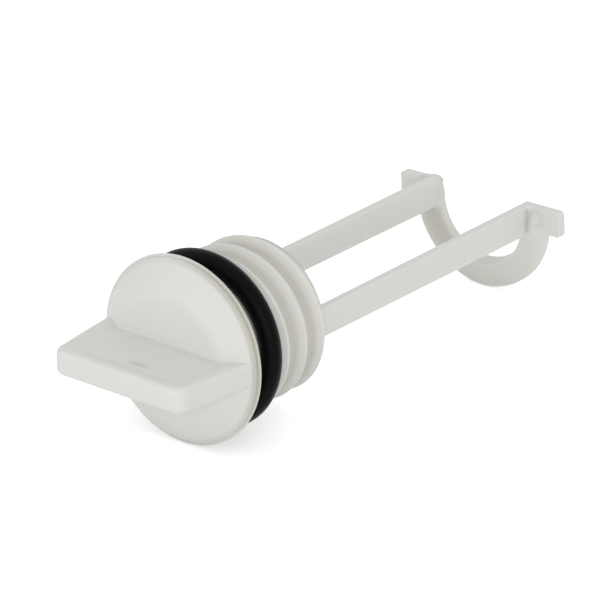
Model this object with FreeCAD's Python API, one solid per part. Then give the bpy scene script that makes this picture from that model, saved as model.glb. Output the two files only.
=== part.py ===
import FreeCAD
import Part

import math
import os

# Captive drain plug, lying as it comes to rest. All lengths are in millimetres.
# The plug is drawn along its own axis first: x runs from the face of the head
# towards the clip, +y is the far arm's side and +z is up. The last step tips it
# down on to the surface, so that the head's rim and the clip's rim both touch it.

# Head
face_radius = 11.3
bevel_radius = 16.35
bevel_bulge = 0.22
bevel_blend_radius = 4.0
crease_depth = 0.3
crease_width = 0.3
rim_radius = 16.75
rim_start = 3.92
rim_width = 0.3
rim_back_radius = 15.7
head_depth = 5.0

# Wing handle on the head
wing_reach = 13.7
wing_front_half_width = 14.0
wing_side_half_width = 15.2
wing_root_half_width = 15.8
wing_flare_start = 1.2
wing_root_depth = 3.3
wing_thickness = 4.55
wing_corner_radius = 2.7
wing_edge_radius = 1.0
wing_dish_depth = 0.25
wing_dish_margin = 1.7
wing_dish_slope_width = 1.3

# Neck under the head, which is the seal's seat
neck_radius = 12.0
seal_clearance = 0.05
seal_section = 3.65
seal_place = 10.15
seal_side_play = 0.15

# Coarse thread
thread_crest_radius = 14.0
thread_root_radius = 13.0
thread_pitch = 4.53
thread_groove_width = 1.0
thread_shoulder_radius = 13.75
thread_shoulder_half_width = 0.45
thread_crest_half_width = 0.17
thread_first_turn = 6.65
thread_start = 12.4
thread_run_out = 1.5
barrel_end = 25.1
barrel_edge = 0.2

# Arms
arm_gap = 18.3
arm_thickness = 1.6
arm_height = 5.35
arm_edge_radius = 0.3
arm_root_sag = 0.17
arm_root_fillet = 0.7

# Clip: a half ring under the arms and two tabs beside them
clip_end = 82.5
hoop_outer_radius = 14.1
hoop_inner_width = 2.65
hoop_rim_width = 1.2
hoop_drop = 0.5
hoop_offset = 0.04
hoop_front_inner_radius = 9.7
hoop_inner_offset = -0.3
hoop_back_inner_radius = 9.1
clip_rise = 0.3
clip_twist = 1.3
tab_twist = 2.9
tab_thickness = 1.4
tab_half_span = 17.25
tab_height = 4.5
tab_corner_radius = 0.7
tab_arm_fillet = 1.0

ORIGIN = FreeCAD.Vector(0, 0, 0)
AXIS = FreeCAD.Vector(1, 0, 0)
ACROSS = FreeCAD.Vector(0, 1, 0)


def at(x, y, z):
    return FreeCAD.Vector(x, y, z)


def line(a, b):
    return Part.LineSegment(a, b).toShape()


def arc(a, middle, b):
    return Part.Arc(a, middle, b).toShape()


def polyline(points):
    return [line(a, b) for a, b in zip(points, points[1:])]


def half_section(pairs):
    """Closed straight edges through (x, radius) pairs in the plane of the axis and z."""
    points = [at(x, 0, radius) for x, radius in pairs]
    return polyline(points + points[:1])


def turned(edges, start=0.0, angle=360.0):
    """A solid turned about the plug's axis from a closed half section."""
    shape = Part.Face(Part.Wire(edges))
    if start:
        shape.rotate(ORIGIN, AXIS, start)
    return shape.revolve(ORIGIN, AXIS, angle)


def block(x0, x1, y0, y1, z0, z1):
    return Part.makeBox(x1 - x0, y1 - y0, z1 - z0, at(x0, y0, z0))


def make_head():
    """Flat face, bulged bevel, fine crease and a rim that tapers to the back seat."""
    bevel_end = rim_start - crease_width
    face_edge = at(0, 0, face_radius)
    bevel_edge = at(bevel_end, 0, bevel_radius)
    slope = FreeCAD.Vector(bevel_radius - face_radius, 0, -bevel_end).normalize()
    bevel_middle = (face_edge + bevel_edge) * 0.5 - slope * bevel_bulge
    edges = polyline([at(0, 0, 0), face_edge])
    edges.append(arc(face_edge, bevel_middle, bevel_edge))
    edges += polyline([
        bevel_edge,
        at(bevel_end + 0.2 * crease_width, 0, bevel_radius - crease_depth),
        at(rim_start, 0, rim_radius),
        at(rim_start + rim_width, 0, rim_radius),
        at(head_depth, 0, rim_back_radius),
        at(head_depth, 0, 0),
        at(0, 0, 0),
    ])
    head = turned(edges)
    face_rim = []
    for edge in head.Edges:
        if len(edge.Vertexes) == 1 and abs(edge.Vertexes[0].X) < 0.001:
            face_rim.append(edge)
    return head.makeFillet(bevel_blend_radius, face_rim)


def make_wing():
    """The flat handle: straight front, rounded corners, sides that widen and flare into the head."""
    front = -wing_reach
    r = wing_corner_radius
    half = wing_front_half_width
    cut = r * (1.0 - math.sqrt(0.5))
    flare_from = at(-wing_flare_start, wing_side_half_width, 0)
    flare_mid_x = 0.45 * (wing_root_depth - wing_flare_start)
    flare_mid_y = wing_side_half_width + 0.3 * (wing_root_half_width - wing_side_half_width)
    right = [
        (front, half - r),
        (front + cut, half - cut),
        (front + r, half),
    ]

    def mirrored(point):
        return at(point.x, -point.y, 0)

    a, b, c = [at(x, y, 0) for x, y in right]
    flare_to = at(wing_root_depth, wing_root_half_width, 0)
    flare_mid = at(flare_mid_x, flare_mid_y, 0)
    edges = [
        line(mirrored(a), a),
        arc(a, b, c),
        line(c, flare_from),
        arc(flare_from, flare_mid, flare_to),
        line(flare_to, mirrored(flare_to)),
        arc(mirrored(flare_to), mirrored(flare_mid), mirrored(flare_from)),
        line(mirrored(flare_from), mirrored(c)),
        arc(mirrored(c), mirrored(b), mirrored(a)),
    ]
    outline = Part.Face(Part.Wire(edges))
    outline.translate(at(0, 0, -0.5 * wing_thickness))
    slab = outline.extrude(at(0, 0, wing_thickness))
    rounded = []
    for edge in slab.Edges:
        flat = abs(abs(edge.CenterOfMass.z) - 0.5 * wing_thickness) < 0.01
        inside_head = all(vertex.X > wing_root_depth - 0.01 for vertex in edge.Vertexes)
        if flat and not inside_head:
            rounded.append(edge)
    slab = slab.makeFillet(wing_edge_radius, rounded)
    dish = make_wing_dish()
    return slab.cut([dish, dish.mirror(ORIGIN, at(0, 0, 1))])


def make_wing_dish():
    """Shallow hollow with sloping sides in a flat of the wing, which leaves a bead along its edge."""
    slope = wing_dish_slope_width / wing_dish_depth
    wires = []
    for depth in (-wing_dish_depth, wing_dish_depth):
        inset = wing_dish_margin + slope * depth
        z = 0.5 * wing_thickness - depth
        front = -wing_reach + inset
        half = wing_front_half_width - inset
        spread = (wing_side_half_width - wing_front_half_width) / (wing_reach - wing_corner_radius - wing_flare_start)
        side = half + spread * (wing_reach - inset - wing_corner_radius)
        r = wing_corner_radius - 0.3 * inset
        cut = r * (1.0 - math.sqrt(0.5))
        wires.append(Part.Wire([
            line(at(front, -half + r, z), at(front, half - r, z)),
            arc(at(front, half - r, z), at(front + cut, half - cut, z), at(front + r, half, z)),
            line(at(front + r, half, z), at(wing_flare_start, side, z)),
            line(at(wing_flare_start, side, z), at(wing_flare_start, -side, z)),
            line(at(wing_flare_start, -side, z), at(front + r, -half, z)),
            arc(at(front + r, -half, z), at(front + cut, -half + cut, z), at(front, -half + r, z)),
        ]))
    return Part.makeLoft(wires, True, True)


def make_core():
    """The neck that carries the seal, and the plain core under the thread."""
    shoulder = seal_place + 0.5 * seal_section + seal_side_play
    return turned(half_section([
        (0.5 * head_depth, 0),
        (0.5 * head_depth, neck_radius),
        (shoulder, neck_radius),
        (shoulder, thread_root_radius),
        (barrel_end - barrel_edge, thread_root_radius),
        (barrel_end, thread_root_radius - barrel_edge),
        (barrel_end, 0),
    ]))


def make_thread():
    """A single right-hand ridge with an eased crest, wound along a helix and cut to the barrel's envelope."""
    sunk = 0.15
    half_root = 0.5 * (thread_pitch - thread_groove_width)
    flank = (half_root - thread_shoulder_half_width) / (thread_shoulder_radius - thread_root_radius)
    half_foot = half_root + sunk * flank
    length = barrel_end + thread_pitch - thread_first_turn
    helix = Part.makeHelix(thread_pitch, length, thread_root_radius)
    helix.rotate(ORIGIN, ACROSS, 90)
    helix.translate(at(thread_first_turn, 0, 0))
    first = helix.Vertexes[0].Point
    angle = math.atan2(first.z, first.y)

    def point(along, radius):
        return at(thread_first_turn + along, radius * math.cos(angle), radius * math.sin(angle))

    foot_a = point(-half_foot, thread_root_radius - sunk)
    foot_b = point(half_foot, thread_root_radius - sunk)
    shoulder_a = point(-thread_shoulder_half_width, thread_shoulder_radius)
    shoulder_b = point(thread_shoulder_half_width, thread_shoulder_radius)
    crest_a = point(-thread_crest_half_width, thread_crest_radius)
    crest_b = point(thread_crest_half_width, thread_crest_radius)
    section = Part.Wire(polyline([foot_a, shoulder_a, crest_a, crest_b, shoulder_b, foot_b, foot_a]))
    ridge = Part.Wire(helix.Edges).makePipeShell([section], True, True)
    outside = thread_crest_radius + 0.2
    envelope = turned(half_section([
        (thread_start, 0),
        (thread_start, thread_root_radius - 0.5 * sunk),
        (thread_start + thread_run_out, outside),
        (barrel_end - thread_run_out, outside),
        (barrel_end - 0.5 * barrel_edge, thread_root_radius - 0.5 * sunk),
        (barrel_end - 0.5 * barrel_edge, 0),
    ]))
    return ridge.common(envelope)


def make_clip():
    """Half ring under the axis: drafted inner face, coned front and flat back."""
    front_lip = clip_end - hoop_inner_width
    rim_front = clip_end - hoop_rim_width
    outside = turned(half_section([
        (front_lip, 0),
        (front_lip, hoop_front_inner_radius),
        (rim_front, hoop_outer_radius),
        (clip_end, hoop_outer_radius),
        (clip_end, 0),
    ]), 90.0, 180.0)
    draft = (hoop_front_inner_radius - hoop_back_inner_radius) / hoop_inner_width
    inside = turned(half_section([
        (front_lip - 1.0, 0),
        (front_lip - 1.0, hoop_front_inner_radius + draft),
        (clip_end + 1.0, hoop_back_inner_radius - draft),
        (clip_end + 1.0, 0),
    ]))
    inside.translate(at(0, hoop_inner_offset, 0))
    return outside.cut(inside)


def arm_section(x, side, lift, twist):
    """Rounded rectangle of one arm at x, turned about the axis by the twist."""
    inner = 0.5 * arm_gap
    centre_y = side * (inner + 0.5 * arm_thickness)
    half_y = 0.5 * arm_thickness
    half_z = 0.5 * arm_height
    r = arm_edge_radius
    cut = r * (1.0 - math.sqrt(0.5))

    def point(y, z):
        return at(x, centre_y + y, z)

    edges = []
    corners = [(1, 1), (-1, 1), (-1, -1), (1, -1)]
    starts = []
    for index, (sy, sz) in enumerate(corners):
        on_side = point(sy * half_y, sz * (half_z - r))
        on_end = point(sy * (half_y - r), sz * half_z)
        first, last = (on_side, on_end) if index % 2 == 0 else (on_end, on_side)
        middle = point(sy * (half_y - cut), sz * (half_z - cut))
        starts.append((first, middle, last))
    for index, (first, middle, last) in enumerate(starts):
        edges.append(arc(first, middle, last))
        edges.append(line(last, starts[(index + 1) % 4][0]))
    wire = Part.Wire(edges)
    wire.rotate(ORIGIN, AXIS, twist)
    wire.translate(at(0, 0, lift))
    return wire


def make_tab_cove(tab_front, side):
    """Hollow fillet that fills the corner between an arm's outer side and its tab."""
    r = tab_arm_fillet
    cut = r * (1.0 - math.sqrt(0.5))
    skin = 0.5 * arm_gap + arm_thickness - 0.06
    bottom = -0.5 * tab_height

    def point(x, y):
        return at(x, side * y, bottom)

    on_arm = point(tab_front - r, skin)
    on_tab = point(tab_front, skin + r)
    inside_tab = point(tab_front + 0.5 * tab_thickness, skin + r)
    inside_corner = point(tab_front + 0.5 * tab_thickness, skin - 0.3 * arm_thickness)
    inside_arm = point(tab_front - r, skin - 0.3 * arm_thickness)
    edges = [arc(on_arm, point(tab_front - cut, skin + cut), on_tab)]
    edges += polyline([on_tab, inside_tab, inside_corner, inside_arm, on_arm])
    return Part.Face(Part.Wire(edges)).extrude(at(0, 0, tab_height))


def make_frame():
    """Two arms with their tabs, joined by the half ring."""
    half_tab = 0.5 * tab_height
    root = barrel_end - 2.0
    tab_front = clip_end - tab_thickness
    ring = make_clip()
    ring.translate(at(0, hoop_offset, -hoop_drop))
    ring.rotate(ORIGIN, AXIS, -clip_twist)
    ring.translate(at(0, 0, clip_rise))
    pieces = []
    for side in (1, -1):
        first = arm_section(root, side, -arm_root_sag, 0.0)
        last = arm_section(clip_end - 0.5 * tab_thickness, side, clip_rise, -clip_twist)
        pieces.append(Part.makeLoft([first, last], True, True))
        t0, t1 = sorted((side * 0.5 * arm_gap, side * tab_half_span))
        tab = block(tab_front, clip_end, t0, t1, -half_tab, half_tab)
        corners = []
        for edge in tab.Edges:
            centre = edge.CenterOfMass
            if abs(abs(centre.y) - tab_half_span) < 0.01 and abs(abs(centre.z) - half_tab) < 0.01:
                corners.append(edge)
        tab = tab.makeFillet(tab_corner_radius, corners).fuse(make_tab_cove(tab_front, side))
        tab.rotate(ORIGIN, AXIS, -tab_twist)
        tab.translate(at(0, 0, clip_rise))
        pieces.append(tab)
    return ring.fuse(pieces)


def rest_tilt():
    """Angle between the plug's axis and the surface under the head's rim and the clip's rim."""
    along = clip_end - rim_start - rim_width
    down = rim_radius + clip_rise - hoop_drop - hoop_outer_radius
    return math.atan2(down, along)


def lay_down(shapes):
    """Tips the pieces on to z = 0 and centres their extent on the origin."""
    tilt = rest_tilt()
    for shape in shapes:
        shape.rotate(ORIGIN, ACROSS, math.degrees(tilt))
    points = []
    for shape in shapes:
        points += shape.tessellate(0.02)[0]
    along = [point.x for point in points]
    across = [point.y for point in points]
    lift = rim_radius * math.cos(tilt) + (rim_start + rim_width) * math.sin(tilt)
    shift = at(-0.5 * (min(along) + max(along)), -0.5 * (min(across) + max(across)), lift)
    for shape in shapes:
        shape.translate(shift)
    return tilt, shift


def make_barrel_with_frame():
    """Core and frame in one, with a fillet round each arm's root where the barrel's end has room."""
    joined = make_core().fuse(make_frame()).removeSplitter()
    arm_corner = math.hypot(0.5 * arm_gap + arm_thickness, 0.5 * arm_height + arm_root_sag)
    room = thread_root_radius - barrel_edge - arm_corner
    roots = []
    for edge in joined.Edges:
        on_end = all(abs(vertex.X - barrel_end) < 0.001 for vertex in edge.Vertexes)
        beside_arm = all(math.hypot(vertex.Y, vertex.Z) < arm_corner for vertex in edge.Vertexes)
        if on_end and beside_arm:
            roots.append(edge)
    return joined.makeFillet(min(arm_root_fillet, 0.8 * room), roots)


def make_body():
    barrel = make_barrel_with_frame().fuse(make_thread())
    return make_head().fuse(make_wing()).fuse(barrel)


def make_seal():
    radius = 0.5 * seal_section
    return Part.makeTorus(neck_radius + seal_clearance + radius, radius, at(seal_place, 0, 0), AXIS)


os.makedirs("parts", exist_ok=True)
plug_body = make_body()
o_ring = make_seal()
tilt, shift = lay_down([plug_body, o_ring])
plug_body.exportStep("parts/plug_body.step")
o_ring.exportStep("parts/o_ring.step")
print("plug_body", plug_body.isValid(), len(plug_body.Solids), round(plug_body.Volume, 1))
print("o_ring", o_ring.isValid(), len(o_ring.Solids), round(o_ring.Volume, 1))
print("tilt", round(math.degrees(tilt), 4), "shift", [round(value, 4) for value in shift])
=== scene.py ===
import math

import bmesh
import bpy
from mathutils import Matrix, Vector


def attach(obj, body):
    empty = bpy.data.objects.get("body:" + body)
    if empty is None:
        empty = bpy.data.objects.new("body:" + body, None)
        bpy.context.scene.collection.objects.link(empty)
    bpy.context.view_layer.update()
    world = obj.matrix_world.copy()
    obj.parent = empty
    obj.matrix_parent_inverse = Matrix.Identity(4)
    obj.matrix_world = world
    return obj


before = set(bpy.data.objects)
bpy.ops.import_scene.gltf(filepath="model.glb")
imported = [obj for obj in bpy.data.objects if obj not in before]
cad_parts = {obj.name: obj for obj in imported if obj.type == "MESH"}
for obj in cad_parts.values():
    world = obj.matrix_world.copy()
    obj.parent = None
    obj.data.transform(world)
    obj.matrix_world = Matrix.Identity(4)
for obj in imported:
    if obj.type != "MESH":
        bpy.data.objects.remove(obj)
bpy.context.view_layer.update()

scene = bpy.context.scene
scene.view_settings.view_transform = "Standard"

# The plug lies with its axis dipping by this much towards the clip, and the middle
# of its face sits here in the row frame, in metres.
AXIS_DIP = math.radians(1.7927)
FACE_CENTRE = Vector((-0.034416, 0.0, 0.0168738))
TO_ROW = Matrix.Translation(FACE_CENTRE) @ Matrix.Rotation(AXIS_DIP, 4, "Y")

# Places on the plug are in millimetres along its own axis: x from the face of the
# head towards the clip, y to the far side and z up from the axis.
RING_FRONT = 79.85
RING_FRONT_LEAN = 1.45
RING_FRONT_INNER = 9.7
RING_FRONT_WIDTH = 4.4
RING_INSIDE = 9.43
RING_INSIDE_TAPER = 0.2264
RING_TOP = -0.2
RING_TOP_SLOPE = -0.0227
ARM_INSIDE = 9.15
TAB_FRONT = 81.14

# Fairings between the half ring, the arms and the tabs, in the same millimetres
WEB_START = 10.6
WEB_WIDTH = 2.9
NEAR_WEB_HEIGHT = 2.9
FAR_WEB_HEIGHT = 2.3
WEB_BACK = 81.5
RING_ROOT_START = 81.0
RING_ROOT_LENGTH = 1.5
RING_ROOT_LEAN = 0.065
RING_ROOT_SIDE = 9.0
RING_ROOT_PROUD = 0.003
RING_ROOT_BACK = 9.6
RING_ROOT_HEIGHT = 2.3
FAIRING_SUNK = 0.08

# Where shade is painted into the white skin's colour, and how much. A run of pairs gives the level
# from 0 to 1 at places in millimetres, or in half sizes for the gate mark.
CREASE_ALONG = ((2.85, 0), (3.1, 0.6), (3.5, 0.85), (3.9, 0.85), (4.0, 0.45), (4.5, 0.45), (5.0, 0))
CREASE_SIDE = (-0.906, 0.423)
CREASE_ACROSS = ((4.0, 0.2), (14.0, 1.0))
THREAD_ALONG = ((12.3, 0), (12.5, 1), (25.0, 1), (25.1, 0))
THREAD_RADIUS = ((12.85, 0), (12.95, 0.75), (13.15, 0.6), (13.45, 0.28), (13.8, 0.1), (13.95, 0))
TAB_CORNER = (80.35, 10.85)
TAB_CORNER_REACH = ((0.1, 0.6), (0.35, 0.35), (0.9, 0))
TAB_CORNER_HEIGHT = ((-2.0, 0), (-1.2, 1), (2.2, 1), (2.8, 0))
GATE_MARK = (-8.9, -1.2)
GATE_MARK_HALF_SIZE = (0.85, 2.1)
GATE_MARK_REACH = ((0.2, 0.55), (0.8, 0.3), (1.3, 0))
WING_TOP = ((1.5, 0), (1.8, 1))
CLIP_ALONG = ((78.0, 0), (79.5, 1))
CLIP_UNDERSIDE = ((-14.0, 0.35), (-3.0, 0))
LIP_ALONG = ((79.5, 0), (79.8, 0.75), (80.7, 0.6), (81.3, 0.2), (81.8, 0))
LIP_FAR_SIDE = ((1.0, 0.15), (6.0, 1))
LIP_BELOW_ARMS = ((-2.9, 1), (-1.9, 0))

# Colours, as linear light
NYLON = (0.716, 0.711, 0.683)
NYLON_CLOUD = (0.735, 0.732, 0.704)
# Painted shade: the darker, warmer colour mixed into the nylon where shade falls
NYLON_PAINTED_SHADE = (0.49, 0.475, 0.405)
RUBBER = (0.0012, 0.0012, 0.0013)
RUBBER_BLOOM = (0.0024, 0.0024, 0.0026)
FLOOR = (0.93, 0.93, 0.93)

# What the floor adds to itself where it is seen, and the tent's levels
FLOOR_LIFT = 0.45
TENT_LEVEL = 0.89
TENT_OVERHEAD = 0.81
TENT_BEHIND_CLIP = 0.72
HANDLE_SIDE = (-0.90, -0.42, 0.10)

# The photograph's own right and up along the plug, the size of its picture and the
# pixel on which the middle of the face falls, then the camera's place in metres
PICTURE_RIGHT = Vector((0.643, -0.766, 0.0))
PICTURE_UP = Vector((0.311, 0.261, 0.914))
PICTURE_SIDE = 600
FACE_PIXEL = (168.55, 356.64)
PLUG_MIDDLE = 34.0
FIELD = 0.1
CAMERA_DISTANCE = 4.5
SENSOR_MM = 36.0


def place(x, y, z):
    """A point given in millimetres along the plug's own axis, in the row frame."""
    return TO_ROW @ Vector((x / 1000, y / 1000, z / 1000))


def material(name):
    made = bpy.data.materials.new(name)
    made.use_nodes = True
    nodes = made.node_tree.nodes
    return made, nodes, made.node_tree.links, nodes["Principled BSDF"]


def noise(nodes, links, coord, scale, detail):
    texture = nodes.new("ShaderNodeTexNoise")
    texture.inputs["Scale"].default_value = scale
    texture.inputs["Detail"].default_value = detail
    links.new(coord, texture.inputs["Vector"])
    return texture.outputs["Fac"]


def spread(nodes, links, value, low, high, start=0.0, end=1.0):
    """Maps a value from start..end to low..high and holds it there outside."""
    ranged = nodes.new("ShaderNodeMapRange")
    ranged.inputs["From Min"].default_value = start
    ranged.inputs["From Max"].default_value = end
    ranged.inputs["To Min"].default_value = low
    ranged.inputs["To Max"].default_value = high
    links.new(value, ranged.inputs["Value"])
    return ranged.outputs["Result"]


def colour_mix(nodes, links, value):
    """A colour mix driven by a value, with its two colours still to be set."""
    mix = nodes.new("ShaderNodeMix")
    mix.data_type = "RGBA"
    links.new(value, mix.inputs["Factor"])
    return mix


def blend_colours(nodes, links, value, first, second):
    mix = colour_mix(nodes, links, value)
    mix.inputs["A"].default_value = (*first, 1)
    mix.inputs["B"].default_value = (*second, 1)
    return mix.outputs["Result"]


def combine(nodes, links, operation, first, second):
    """One math node. An input is a socket or a plain number."""
    node = nodes.new("ShaderNodeMath")
    node.operation = operation
    for socket, value in zip(node.inputs, (first, second)):
        if isinstance(value, (int, float)):
            socket.default_value = value
        else:
            links.new(value, socket)
    return node.outputs[0]


def multiply(nodes, links, first, second):
    return combine(nodes, links, "MULTIPLY", first, second)


def distance(nodes, links, first, second):
    """How far a point lies from zero, by its two coordinates."""
    total = combine(
        nodes, links, "ADD",
        multiply(nodes, links, first, first),
        multiply(nodes, links, second, second),
    )
    return combine(nodes, links, "SQRT", total, 0.0)


def dot_product(nodes, links, vector, direction):
    dot = nodes.new("ShaderNodeVectorMath")
    dot.operation = "DOT_PRODUCT"
    dot.inputs[1].default_value = direction
    links.new(vector, dot.inputs[0])
    return dot.outputs["Value"]


def graded(nodes, links, value, stops):
    """A level that follows (place, level) stops along a value, held level outside them."""
    low, high = stops[0][0], stops[-1][0]
    ramp = nodes.new("ShaderNodeValToRGB")
    links.new(spread(nodes, links, value, 0.0, 1.0, low, high), ramp.inputs["Fac"])
    elements = ramp.color_ramp.elements
    elements[0].color = (stops[0][1],) * 3 + (1,)
    elements[1].color = (stops[-1][1],) * 3 + (1,)
    for where, level in stops[1:-1]:
        elements.new((where - low) / (high - low)).color = (level,) * 3 + (1,)
    return ramp.outputs["Color"]


def plug_coordinates(nodes, links):
    """Millimetres along the plug's axis from its face, to its far side and up from the axis."""
    here = nodes.new("ShaderNodeTexCoord").outputs["Object"]
    offset = nodes.new("ShaderNodeVectorMath")
    offset.operation = "SUBTRACT"
    offset.inputs[1].default_value = FACE_CENTRE
    links.new(here, offset.inputs[0])
    offset = offset.outputs["Vector"]
    coordinates = []
    for axis in ((1, 0, 0), (0, 1, 0), (0, 0, 1)):
        metres = dot_product(nodes, links, offset, TO_ROW.to_3x3() @ Vector(axis))
        coordinates.append(multiply(nodes, links, metres, 1000.0))
    return coordinates


def crease_painted_shade(nodes, links, x, y, z):
    """Painted shade in the crease between the head's bevel and its rim, strongest on the near upper
    side.
    """
    side = combine(
        nodes, links, "ADD",
        multiply(nodes, links, y, CREASE_SIDE[0]),
        multiply(nodes, links, z, CREASE_SIDE[1]),
    )
    return multiply(
        nodes, links,
        graded(nodes, links, x, CREASE_ALONG),
        graded(nodes, links, side, CREASE_ACROSS),
    )


def thread_groove_painted_shade(nodes, links, x, y, z):
    """Painted shade in the thread's groove, darkest at its bottom."""
    radius = distance(nodes, links, y, z)
    return multiply(
        nodes, links,
        graded(nodes, links, radius, THREAD_RADIUS),
        graded(nodes, links, x, THREAD_ALONG),
    )


def tab_corner_painted_shade(nodes, links, x, y, z):
    """Painted shade along the upright line at which each arm's outer side meets its tab."""
    outward = combine(nodes, links, "ABSOLUTE", y, 0.0)
    reach = distance(
        nodes, links,
        combine(nodes, links, "SUBTRACT", x, TAB_CORNER[0]),
        combine(nodes, links, "SUBTRACT", outward, TAB_CORNER[1]),
    )
    return multiply(
        nodes, links,
        graded(nodes, links, reach, TAB_CORNER_REACH),
        graded(nodes, links, z, TAB_CORNER_HEIGHT),
    )


def gate_mark_painted_shade(nodes, links, x, y, z):
    """The small mark that the mould's gate leaves on top of the wing, darkened as painted shade of its
    shallow dent.
    """
    steps = [
        combine(nodes, links, "DIVIDE", combine(nodes, links, "SUBTRACT", value, middle), half)
        for value, middle, half in zip((x, y), GATE_MARK, GATE_MARK_HALF_SIZE)
    ]
    return multiply(
        nodes, links,
        graded(nodes, links, distance(nodes, links, *steps), GATE_MARK_REACH),
        graded(nodes, links, z, WING_TOP),
    )


def clip_underside_painted_shade(nodes, links, x, y, z):
    """Painted shade on the lower part of the half ring, darker towards the bottom."""
    return multiply(
        nodes, links,
        graded(nodes, links, z, CLIP_UNDERSIDE),
        graded(nodes, links, x, CLIP_ALONG),
    )


def clip_lip_painted_shade(nodes, links, x, y, z):
    """Painted shade at the front edge of the half ring's inside, on its far side, below the arms."""
    along = multiply(
        nodes, links,
        graded(nodes, links, x, LIP_ALONG),
        graded(nodes, links, y, LIP_FAR_SIDE),
    )
    return multiply(nodes, links, along, graded(nodes, links, z, LIP_BELOW_ARMS))


def painted_shade(nodes, links):
    """Where shade is painted into the white skin's colour, from 0 to 1: crease, thread groove, tab
    corners, gate mark's dent, half ring's underside and lip.
    """
    here = plug_coordinates(nodes, links)
    most = crease_painted_shade(nodes, links, *here)
    for part in (thread_groove_painted_shade, tab_corner_painted_shade, gate_mark_painted_shade, clip_underside_painted_shade, clip_lip_painted_shade):
        most = combine(nodes, links, "MAXIMUM", most, part(nodes, links, *here))
    return most


def roughen(nodes, links, skin, grain, smoothest, roughest, strength, depth):
    """Lets a grain set the roughness and a fine relief of the given depth in metres."""
    links.new(spread(nodes, links, grain, smoothest, roughest), skin.inputs["Roughness"])
    bump = nodes.new("ShaderNodeBump")
    bump.inputs["Strength"].default_value = strength
    bump.inputs["Distance"].default_value = depth
    links.new(grain, bump.inputs["Height"])
    links.new(bump.outputs["Normal"], skin.inputs["Normal"])


def white_nylon():
    """Moulded white nylon: satin skin, faint cloudiness, and painted shade, darker and warmer, in its
    grooves, crease and corners and under the clip.
    """
    made, nodes, links, skin = material("white_nylon")
    coord = nodes.new("ShaderNodeTexCoord").outputs["Object"]
    cloud = noise(nodes, links, coord, scale=90.0, detail=2.0)
    # Painted shade: the nylon's colour is mixed towards a darker, warmer colour by the shade mask
    shade = colour_mix(nodes, links, painted_shade(nodes, links))
    shade.inputs["B"].default_value = (*NYLON_PAINTED_SHADE, 1)
    links.new(blend_colours(nodes, links, cloud, NYLON, NYLON_CLOUD), shade.inputs["A"])
    links.new(shade.outputs["Result"], skin.inputs["Base Color"])
    grain = noise(nodes, links, coord, scale=2600.0, detail=3.0)
    roughen(nodes, links, skin, grain, 0.40, 0.50, strength=0.06, depth=0.00008)
    skin.inputs["IOR"].default_value = 1.5
    skin.inputs["Specular IOR Level"].default_value = 0.35
    skin.inputs["Subsurface Weight"].default_value = 0.25
    skin.inputs["Subsurface Radius"].default_value = (0.0018, 0.0016, 0.0013)
    skin.inputs["Subsurface Scale"].default_value = 1.0
    return made


def black_rubber():
    """Smooth black rubber with a faint bloom."""
    made, nodes, links, skin = material("black_rubber")
    coord = nodes.new("ShaderNodeTexCoord").outputs["Object"]
    bloom = noise(nodes, links, coord, scale=320.0, detail=4.0)
    links.new(blend_colours(nodes, links, bloom, RUBBER, RUBBER_BLOOM), skin.inputs["Base Color"])
    fine = noise(nodes, links, coord, scale=1900.0, detail=4.0)
    roughen(nodes, links, skin, fine, 0.30, 0.42, strength=0.12, depth=0.00006)
    skin.inputs["Specular IOR Level"].default_value = 0.07
    return made


def dress(node, look, degrees):
    """Gives a node its material and smooth shading, with edges above the angle kept sharp."""
    node.data.materials.clear()
    node.data.materials.append(look)
    node.data.shade_smooth()
    node.data.set_sharp_from_angle(angle=math.radians(degrees))


def finish_piece(name, mesh, look):
    """A small mesh piece of the body, in the row frame, that moves with it."""
    bmesh.ops.recalc_face_normals(mesh, faces=mesh.faces)
    data = bpy.data.meshes.new(name)
    mesh.to_mesh(data)
    mesh.free()
    piece = bpy.data.objects.new(name, data)
    scene.collection.objects.link(piece)
    dress(piece, look, 24)
    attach(piece, "root")


def hull_piece(name, points, look):
    mesh = bmesh.new()
    for point in points:
        mesh.verts.new(place(*point))
    bmesh.ops.convex_hull(mesh, input=mesh.verts)
    finish_piece(name, mesh, look)


def patch_piece(name, front, back, look, columns=14, rows=18):
    """A closed piece between a shown surface and one inside the body, each a function of u and v."""
    mesh = bmesh.new()
    sheets = []
    for surface in (front, back):
        sheets.append([
            [mesh.verts.new(place(*surface(i / columns, j / rows))) for j in range(rows + 1)]
            for i in range(columns + 1)
        ])
    shown, hidden = sheets
    for sheet in sheets:
        for i in range(columns):
            for j in range(rows):
                mesh.faces.new((sheet[i][j], sheet[i + 1][j], sheet[i + 1][j + 1], sheet[i][j + 1]))
    rim = [(i, 0) for i in range(columns)] + [(columns, j) for j in range(rows)]
    rim += [(i, rows) for i in range(columns, 0, -1)] + [(0, j) for j in range(rows, 0, -1)]
    for (i, j), (k, m) in zip(rim, rim[1:] + rim[:1]):
        mesh.faces.new((shown[i][j], shown[k][m], hidden[k][m], hidden[i][j]))
    finish_piece(name, mesh, look)


def fairing_foot(y):
    """Height at which a fairing starts, a little below the half ring's end."""
    return RING_TOP + RING_TOP_SLOPE * y - FAIRING_SUNK


def fade(v):
    """1 at v = 0, easing to 0 at v = 1."""
    return 1.0 - v * v * (3.0 - 2.0 * v)


def build_tab_web(name, side, height, look):
    """Eases the half ring's front up into the tab, beside the arm."""
    def front(u, v):
        reach = WEB_START + WEB_WIDTH * u
        lean = RING_FRONT_LEAN * (reach - RING_FRONT_INNER) / RING_FRONT_WIDTH
        step = TAB_FRONT - (RING_FRONT + lean)
        y = side * reach
        return TAB_FRONT - step * fade(v), y, fairing_foot(y) + height * v

    def back(u, v):
        x, y, z = front(u, v)
        return WEB_BACK, y, z

    patch_piece(name, front, back, look)


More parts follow.
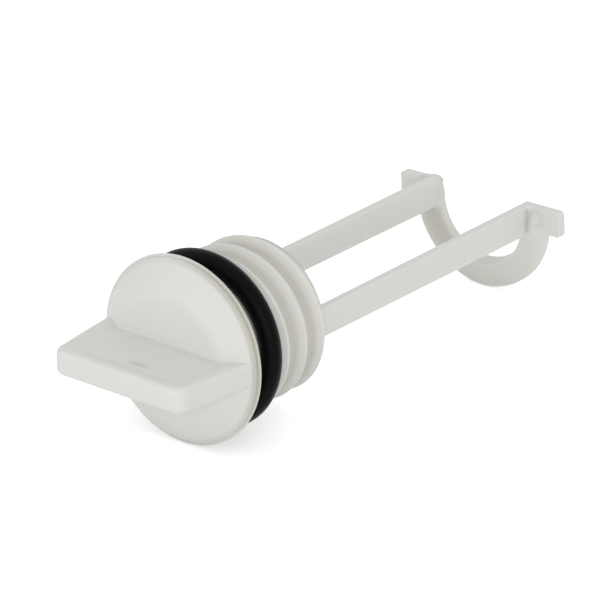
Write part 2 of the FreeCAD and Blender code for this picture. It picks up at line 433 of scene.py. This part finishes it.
def build_ring_root(look):
    """Eases the far end of the half ring's inside up into the far arm."""
    def front(u, v):
        x = RING_ROOT_START + RING_ROOT_LENGTH * u
        step = ARM_INSIDE - (RING_INSIDE - RING_INSIDE_TAPER * (x - RING_FRONT))
        y = ARM_INSIDE + RING_ROOT_PROUD + RING_ROOT_LEAN * v - step * fade(v)
        return x, y, fairing_foot(RING_ROOT_SIDE) + RING_ROOT_HEIGHT * v

    def back(u, v):
        x, y, z = front(u, v)
        return x, RING_ROOT_BACK, z

    patch_piece("ring_root_far", front, back, look)


def build_far_corner(look):
    """Eases the far arm's end down to the top of its tab."""
    arm_end = ((81.1, 10.6, 2.66), (81.85, 9.3, 2.72), (81.85, 10.6, 2.66))
    tab_top = ((82.48, 9.2, 2.02), (82.48, 13.4, 1.82), (81.12, 13.4, 1.82))
    inside = ((82.4, 9.4, 1.5), (82.4, 12.8, 1.4), (81.2, 12.8, 1.4), (81.2, 9.4, 1.5))
    hull_piece("tab_corner_far", arm_end + tab_top + inside, look)


def seen_directly(nodes, links):
    """1 for what the camera sees, straight or in a gloss or through glass, and 0 for the light."""
    path = nodes.new("ShaderNodeLightPath")
    seen = path.outputs["Is Camera Ray"]
    for other in ("Is Glossy Ray", "Is Transmission Ray"):
        seen = combine(nodes, links, "MAXIMUM", seen, path.outputs[other])
    return seen


def build_floor():
    """Pale floor. Seen directly it reads as white and keeps the plug's soft shadow."""
    bpy.ops.mesh.primitive_plane_add(size=6.0, location=(0, 0, -0.0002))
    floor = bpy.context.object
    floor.name = "floor"
    made, nodes, links, skin = material("pale_floor")
    skin.inputs["Base Color"].default_value = (*FLOOR, 1)
    skin.inputs["Roughness"].default_value = 0.9
    skin.inputs["Specular IOR Level"].default_value = 0.0
    lift = nodes.new("ShaderNodeEmission")
    lift.inputs["Color"].default_value = (1, 1, 1, 1)
    links.new(multiply(nodes, links, seen_directly(nodes, links), FLOOR_LIFT), lift.inputs["Strength"])
    add = nodes.new("ShaderNodeAddShader")
    links.new(skin.outputs["BSDF"], add.inputs[0])
    links.new(lift.outputs["Emission"], add.inputs[1])
    links.new(add.outputs["Shader"], nodes["Material Output"].inputs["Surface"])
    floor.data.materials.append(made)


def build_world():
    """A tent: brightest towards the handle's side, dimmer overhead and behind the clip."""
    world = bpy.data.worlds.new("tent")
    scene.world = world
    world.use_nodes = True
    nodes, links = world.node_tree.nodes, world.node_tree.links
    direction = nodes.new("ShaderNodeTexCoord").outputs["Generated"]
    split = nodes.new("ShaderNodeSeparateXYZ")
    links.new(direction, split.inputs["Vector"])
    overhead = spread(nodes, links, split.outputs["Z"], TENT_LEVEL, TENT_OVERHEAD)
    towards_handle = dot_product(nodes, links, direction, HANDLE_SIDE)
    front = spread(nodes, links, towards_handle, TENT_BEHIND_CLIP, 1.0, start=-0.8, end=0.1)
    pick = nodes.new("ShaderNodeMix")
    pick.data_type = "FLOAT"
    pick.inputs["B"].default_value = 1.0
    links.new(seen_directly(nodes, links), pick.inputs["Factor"])
    links.new(multiply(nodes, links, overhead, front), pick.inputs["A"])
    background = nodes["Background"]
    links.new(pick.outputs["Result"], background.inputs["Strength"])
    background.inputs["Color"].default_value = (1, 1, 1, 1)


def area_light(name, where, aim, size, power):
    data = bpy.data.lights.new(name, "AREA")
    data.shape = "SQUARE"
    data.size = size
    data.energy = power
    lamp = bpy.data.objects.new(name, data)
    scene.collection.objects.link(lamp)
    lamp.location = where
    lamp.rotation_mode = "QUATERNION"
    lamp.rotation_quaternion = (Vector(aim) - Vector(where)).to_track_quat("-Z", "Y")


def build_camera():
    """A long lens from the handle's near side, turned as the photograph is."""
    right = (TO_ROW.to_3x3() @ PICTURE_RIGHT).normalized()
    up = TO_ROW.to_3x3() @ PICTURE_UP
    up = (up - right * up.dot(right)).normalized()
    back = right.cross(up)
    per_pixel = FIELD / PICTURE_SIDE
    half = PICTURE_SIDE / 2
    middle = place(0, 0, 0)
    middle = middle + right * (half - FACE_PIXEL[0]) * per_pixel
    middle = middle + up * (FACE_PIXEL[1] - half) * per_pixel
    middle = middle + back * back.dot(place(PLUG_MIDDLE, 0, 0) - middle)
    data = bpy.data.cameras.new("camera")
    data.sensor_width = SENSOR_MM
    data.lens = SENSOR_MM * CAMERA_DISTANCE / FIELD
    data.clip_start = 0.5
    data.clip_end = 20.0
    camera = bpy.data.objects.new("camera", data)
    scene.collection.objects.link(camera)
    turn = Matrix((right, up, back)).transposed().to_4x4()
    camera.matrix_world = Matrix.Translation(middle + back * CAMERA_DISTANCE) @ turn
    scene.camera = camera


nylon = white_nylon()
dress(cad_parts["plug_body"], nylon, 24)
build_tab_web("tab_web_near", -1, NEAR_WEB_HEIGHT, nylon)
build_tab_web("tab_web_far", 1, FAR_WEB_HEIGHT, nylon)
build_ring_root(nylon)
build_far_corner(nylon)
dress(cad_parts["o_ring"], black_rubber(), 60)
build_floor()
build_world()
area_light("key_softbox", (-0.9, -0.95, 0.47), (0, 0, 0.01), size=0.9, power=3.15)
area_light("front_panel", (-0.45, 0.0, 0.06), (-0.035, 0, 0.008), size=0.11, power=0.13)
build_camera()
